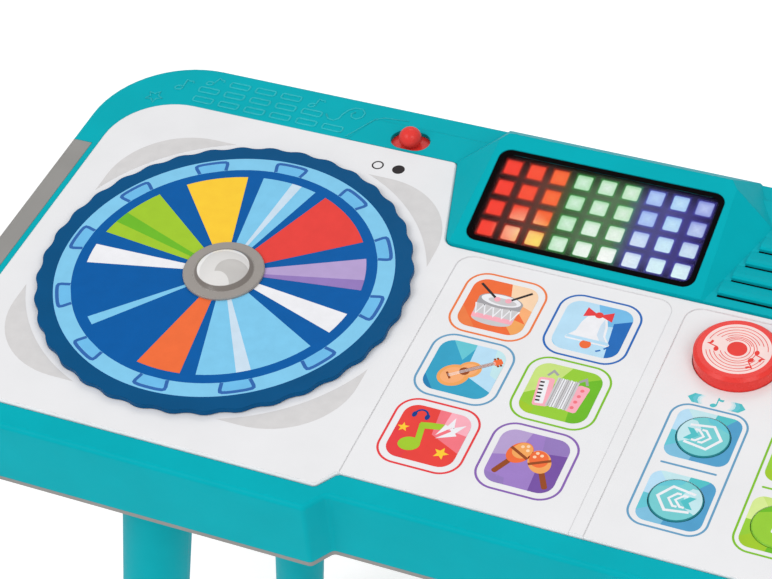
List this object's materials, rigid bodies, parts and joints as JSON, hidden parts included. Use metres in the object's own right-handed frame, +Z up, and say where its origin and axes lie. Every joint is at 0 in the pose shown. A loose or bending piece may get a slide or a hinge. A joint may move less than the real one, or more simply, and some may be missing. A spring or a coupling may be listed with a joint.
{
  "type": "musical activity table",
  "caption": "Low play table with a spinning scalloped disc, touch pads, light display, speaker slots, round push buttons and piano keys on splayed legs.",
  "frame": {"origin": "on the floor under the middle of the console", "axes": "+X to the right of a child standing in front, +Y away from the child, +Z up"},
  "size_m": [0.6484, 0.2566, 0.4451],
  "materials": {
    "teal_plastic": "satin",
    "white_plastic": "satin",
    "grey_plastic": "satin",
    "dark_plastic": "matt",
    "navy_plastic": "satin",
    "blue_print": "satin",
    "hub_grey": "satin",
    "hub_light": "gloss",
    "red_plastic": "gloss",
    "blue_plastic": "satin",
    "green_plastic": "satin",
    "yellow_plastic": "satin",
    "orange_plastic": "satin",
    "purple_plastic": "satin",
    "window": "clear",
    "light_pipe": "frosted",
    "board": "satin",
    "led": "gloss",
    "acetal": "satin",
    "steel": "satin",
    "cell": "gloss",
    "paper_cone": "matt",
    "rubber_grey": "matt"
  },
  "bodies": {
    "console": {"battery_cells": "cell", "battery_contacts": "steel", "bottom_tray": "grey_plastic", "button_board": "board", "control_panel": "white_plastic", "display_leds": "led", "display_lights": "light_pipe", "display_mask": "dark_plastic", "display_window": "window", "encoder_sensor": "board", "housing_screws": "steel", "key_board": "board", "key_rod": "steel", "led_board": "board", "leg_back_left": "teal_plastic", "leg_back_right": "teal_plastic", "leg_feet": "rubber_grey", "leg_front_left": "teal_plastic", "leg_front_right": "teal_plastic", "main_board": "board", "power_switch": "dark_plastic", "side_grip_left": "grey_plastic", "side_grip_right": "grey_plastic", "speaker_cone": "paper_cone", "speaker_frame": "steel", "spindle_bush": "acetal", "top_housing": "teal_plastic", "touch_pad_board": "board"},
    "turntable": {"turntable_disc": "navy_plastic", "turntable_face": "blue_print", "hub_ring": "hub_grey", "hub_cap": "hub_light", "turntable_spindle": "steel", "encoder_wheel": "dark_plastic", "spindle_clip": "steel"},
    "power_knob": {"power_knob": "red_plastic"},
    "battery_door": {"battery_door": "grey_plastic", "battery_door_screw": "steel"},
    "next_button": {"next_button": "blue_plastic"},
    "previous_button": {"previous_button": "blue_plastic"},
    "louder_button": {"louder_button": "green_plastic"},
    "quieter_button": {"quieter_button": "green_plastic"},
    "record_button": {"record_button": "red_plastic"},
    "melody_button": {"melody_button": "yellow_plastic"},
    "piano_key_1": {"piano_key_1": "red_plastic"},
    "piano_key_2": {"piano_key_2": "orange_plastic"},
    "piano_key_3": {"piano_key_3": "yellow_plastic"},
    "piano_key_4": {"piano_key_4": "green_plastic"},
    "piano_key_5": {"piano_key_5": "purple_plastic"}
  },
  "joints": [
    {"name": "turntable_spin", "type": "hinge", "parent": "console", "child": "turntable", "pos_m": [-0.2065, -0.0113, 0.43], "axis": [0, 0, 1], "continuous": true},
    {"name": "power_slide", "type": "slide", "parent": "console", "child": "power_knob", "axis": [1, 0, 0], "range_m": [-0.004, 0.004]},
    {"name": "next_button_press", "type": "slide", "parent": "console", "child": "next_button", "axis": [0, 0, -1], "range_m": [0, 0.002], "stiffness_N_per_m": 600, "springref_m": -0.0005},
    {"name": "previous_button_press", "type": "slide", "parent": "console", "child": "previous_button", "axis": [0, 0, -1], "range_m": [0, 0.002], "stiffness_N_per_m": 600, "springref_m": -0.0005},
    {"name": "louder_button_press", "type": "slide", "parent": "console", "child": "louder_button", "axis": [0, 0, -1], "range_m": [0, 0.002], "stiffness_N_per_m": 600, "springref_m": -0.0005},
    {"name": "quieter_button_press", "type": "slide", "parent": "console", "child": "quieter_button", "axis": [0, 0, -1], "range_m": [0, 0.002], "stiffness_N_per_m": 600, "springref_m": -0.0005},
    {"name": "record_button_press", "type": "slide", "parent": "console", "child": "record_button", "axis": [0, 0, -1], "range_m": [0, 0.003], "stiffness_N_per_m": 600, "springref_m": -0.0005},
    {"name": "melody_button_press", "type": "slide", "parent": "console", "child": "melody_button", "axis": [0, 0, -1], "range_m": [0, 0.003], "stiffness_N_per_m": 600, "springref_m": -0.0005},
    {"name": "piano_key_1_press", "type": "hinge", "parent": "console", "child": "piano_key_1", "pos_m": [0.1435, 0.0145, 0.4205], "axis": [1, 0, 0], "range_deg": [0, 2.5], "stiffness_Nm_per_rad": 3, "springref_deg": -1.15},
    {"name": "piano_key_2_press", "type": "hinge", "parent": "console", "child": "piano_key_2", "pos_m": [0.175, 0.0145, 0.4205], "axis": [1, 0, 0], "range_deg": [0, 2.5], "stiffness_Nm_per_rad": 3, "springref_deg": -1.15},
    {"name": "piano_key_3_press", "type": "hinge", "parent": "console", "child": "piano_key_3", "pos_m": [0.2065, 0.0145, 0.4205], "axis": [1, 0, 0], "range_deg": [0, 2.5], "stiffness_Nm_per_rad": 3, "springref_deg": -1.15},
    {"name": "piano_key_4_press", "type": "hinge", "parent": "console", "child": "piano_key_4", "pos_m": [0.238, 0.0145, 0.4205], "axis": [1, 0, 0], "range_deg": [0, 2.5], "stiffness_Nm_per_rad": 3, "springref_deg": -1.15},
    {"name": "piano_key_5_press", "type": "hinge", "parent": "console", "child": "piano_key_5", "pos_m": [0.2695, 0.0145, 0.4205], "axis": [1, 0, 0], "range_deg": [0, 2.5], "stiffness_Nm_per_rad": 3, "springref_deg": -1.15},
    {"name": "battery_door_swing", "type": "hinge", "parent": "console", "child": "battery_door", "pos_m": [0, -0.0039, 0.3875], "axis": [1, 0, 0], "range_deg": [0, 70]}
  ]
}
